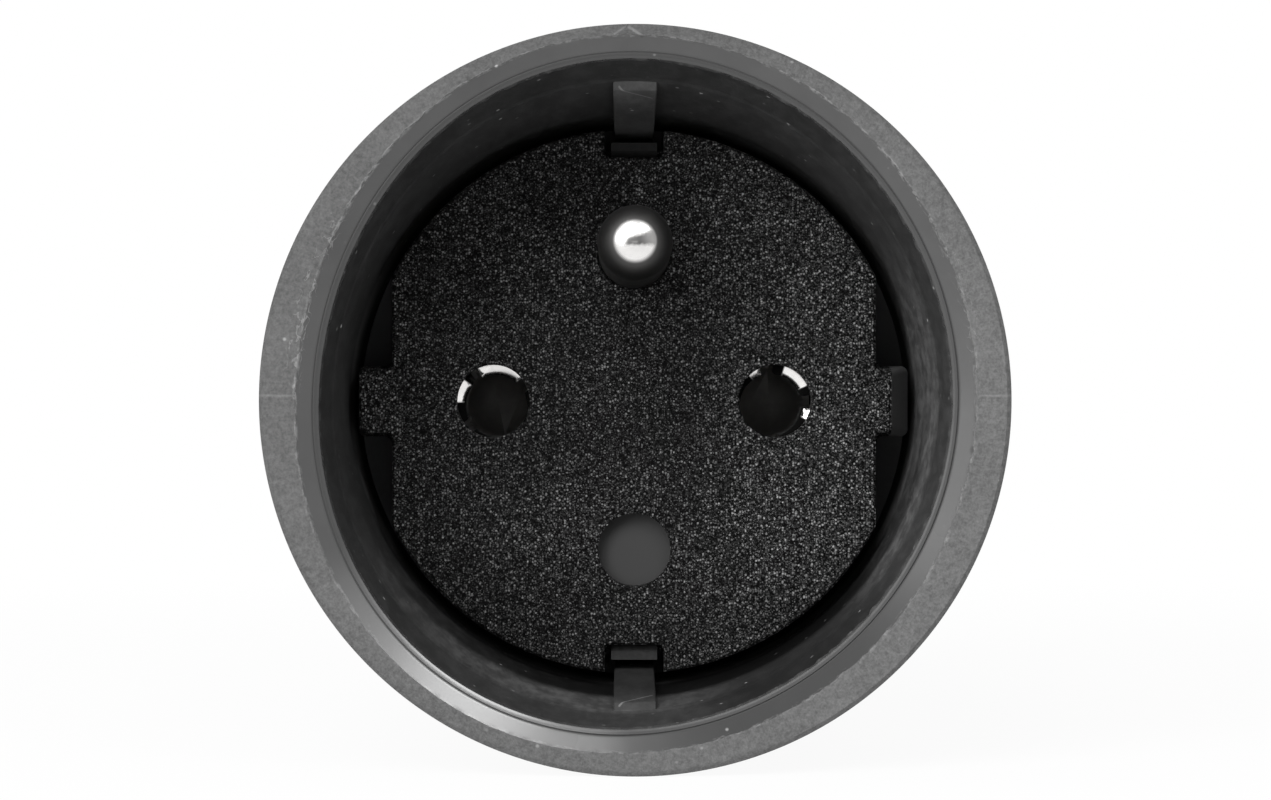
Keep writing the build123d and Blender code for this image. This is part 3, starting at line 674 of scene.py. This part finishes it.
# Painted light: the wall lighter in the gap behind the face.
wall_tone = wall_tone + (1 - rib) * GAP_PAINTED_LIGHT * y.between(GAP_Y, FACE_Y + 4.0 * MM)
rib_front, rib_down = rib_front_y + 0.3 * MM, rib_front_y + 6.0 * MM
score = scratch(x, y, (-1.0 * MM, rib_front), (1.1 * MM, rib_front + 2.2 * MM), 0.09 * MM)
# Painted light on the upper rib, and painted shade further down both ribs.
rib_light_and_shade = 0.9 * z.between(-MM, MM) - 0.5 * y.between(rib_front, rib_down)
wall_tone = wall_tone * (1 + rib * rib_light_and_shade) + 0.1 * rib * score

# The bevel is painted palest at the lower right, as painted light.
# The band shines on its polished side, and at the lower right it is rougher and painted darker, as
# painted shade.
DULL_SIDE = 298.0
painted_light_low_right = 0.78 + 0.36 * toward(315.0, 180.0)
polish = (1 - bevel) * (1 - wall) * (1 - 0.25 * groove) * toward(POLISHED_SIDE, 33.0)
band_tone = (0.055 + 0.03 * clouds) * (1 - 0.5 * toward(DULL_SIDE, 34.0))
unrubbed = 0.35 * band * toward(DULL_SIDE, 40.0)
lip_nicks = abs(across_mm - lip_across).between(0.2, 0.05) * along_rim.noise(2.2, 3.0).between(0.55, 0.7)
level = bevel * bevel_tone * painted_light_low_right + band * band_tone + 0.05 * groove + 0.06 * lip + wall * wall_tone
level = level + 0.1 * flecks + 0.07 * torn + 0.06 * bevel * split + 0.07 * lip_nicks
level = level + dust * (0.3 + 0.2 * wall)
skin = bevel * (0.5 * mottle + 0.3 * streaks + 0.2 * fine)
feed(
    shader,
    Base_Color=level.blend(grey(0.0), grey(1.0)),
    Coat_Weight=polish,
    Roughness=0.24 + 0.56 * bevel + 0.3 * groove + 0.3 * wall + 0.3 * flecks + 0.05 * clouds + unrubbed,
    Normal=relief(skin + 0.4 * wall * scuffs + 0.8 * flecks + torn + split, 0.04 * MM, 0.7),
)
add_piece("jacket_body", bm, material, "jacket_rubber", "rubber_jacket")


# The floor: a plain white sheet under the part. The camera and mirrors see it white further off,
# and near the part it takes the shadow.
FLOOR_SIZE = 4.0
floor_z = CAD_BOUNDS[0][2]
bm = bmesh.new()
bmesh.ops.create_grid(bm, x_segments=1, y_segments=1, size=FLOOR_SIZE / 2)
bmesh.ops.translate(bm, verts=bm.verts, vec=(0, 0, floor_z))
mesh = bpy.data.meshes.new("floor")
bm.to_mesh(mesh)
bm.free()
floor = bpy.data.objects.new("floor", mesh)
bpy.context.scene.collection.objects.link(floor)


def seen_white(tree):
    """1 for rays from the camera, a mirror or glass, and 0 for those that carry light."""
    path = tree.nodes.new("ShaderNodeLightPath")
    camera, glossy, through = (
        Wire(path.outputs[key]) for key in ("Is Camera Ray", "Is Glossy Ray", "Is Transmission Ray")
    )
    return camera.math("MAXIMUM", camera.math("MAXIMUM", camera, glossy), through)


NEAR, FAR = 0.03, 0.2
material, shader, place = start_finish("floor_white", Roughness=0.9, Base_Color=grey(0.9))
tree = material.node_tree
x, y, z = place.parts()
distance = (x * x + y * y) ** 0.5
whiteness = 0.94 + 0.06 * distance.between(NEAR, FAR)
glow = place.node("ShaderNodeEmission", {}, {"Color": grey(1.0), "Strength": 1.0})
mixed = place.node("ShaderNodeMixShader", {}, {0: whiteness * seen_white(tree), 2: glow})
tree.links.new(shader.outputs[0], mixed.socket.node.inputs[1])
tree.links.new(mixed.socket, tree.nodes["Material Output"].inputs["Surface"])
mesh.materials.append(material)


# The light: white surroundings at a low level, soft lamps from above and from the left,
# and a compact one from the upper right, which draws the bright crescent on the rim's band.
WORLD_FILL = 0.3
world = bpy.data.worlds.new("surroundings")
bpy.context.scene.world = world
world.use_nodes = True
tree = world.node_tree
background = tree.nodes["Background"]
strength = WORLD_FILL + (1 - WORLD_FILL) * seen_white(tree)
tree.links.new(strength.socket, background.inputs["Strength"])
background.inputs["Color"].default_value = grey(1.0)


def aim(item, target):
    item.rotation_euler = (Vector(target) - item.location).to_track_quat("-Z", "Y").to_euler()


MOUTH_CENTRE = Vector((0.0, RIM_Y, 0.0))


def lamp(name, bearing, off_axis, distance, size, power):
    """A round soft lamp aimed at the mouth, at an angle round its axis and one away from it."""
    light = bpy.data.lights.new(name, "AREA")
    light.shape = "DISK"
    light.size = size
    light.energy = power
    item = bpy.data.objects.new(name, light)
    round_axis, away = math.radians(bearing), math.radians(off_axis)
    side = Vector((math.cos(round_axis), 0.0, math.sin(round_axis)))
    direction = math.sin(away) * side + Vector((0.0, -math.cos(away), 0.0))
    item.location = MOUTH_CENTRE + distance * direction
    bpy.context.scene.collection.objects.link(item)
    aim(item, MOUTH_CENTRE)


lamp("above", bearing=112.0, off_axis=43.0, distance=0.5, size=0.3, power=1.7)
lamp("left", bearing=158.0, off_axis=43.0, distance=0.5, size=0.3, power=1.7)
lamp("compact", bearing=60.0, off_axis=50.0, distance=0.35, size=0.14, power=0.27)


# The camera: straight in front of the mouth, a little left of its axis and below it.
# Its lens frames the rim as large as the photograph does.
camera = bpy.data.objects.new("camera", bpy.data.cameras.new("camera"))
bpy.context.scene.collection.objects.link(camera)
camera.location = (-1.0 * MM, -233.5 * MM, -0.8 * MM)
camera.data.lens = 86.1
camera.data.sensor_width = 36.0
camera.data.clip_start = 0.01
aim(camera, (0.0, bevel_y, 0.0))
bpy.context.scene.camera = camera

bpy.context.scene.view_settings.view_transform = "Standard"
